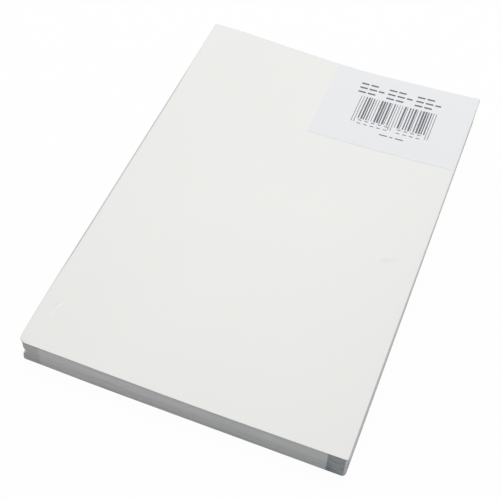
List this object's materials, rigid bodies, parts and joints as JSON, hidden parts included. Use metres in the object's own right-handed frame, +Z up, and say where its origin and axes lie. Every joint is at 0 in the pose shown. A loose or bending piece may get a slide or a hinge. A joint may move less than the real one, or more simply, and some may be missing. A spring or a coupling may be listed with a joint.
{
  "type": "pack of electrocardiogram paper",
  "caption": "Flat pack of fan-folded recorder paper with a small printed label in one corner of its top sheet.",
  "frame": {"origin": "centre of the underside, on the surface that the pack lies on", "axes": "+X from the left folds to the right folds, +Y from the front cut side to the back cut side, where the label is, +Z up"},
  "size_m": [0.1404, 0.21, 0.0155],
  "materials": {
    "paper": "smooth matt thermal paper, faint satin sheen",
    "label_paper": "smooth bluish white label paper",
    "print": "matt dark grey print",
    "edge_print": "matt grey print seen on the sheets' cut edges"
  },
  "bodies": {
    "root": {"folded_strip": "paper", "label": "label_paper", "label_print": "print", "edge_mark": "edge_print"}
  },
  "joints": []
}
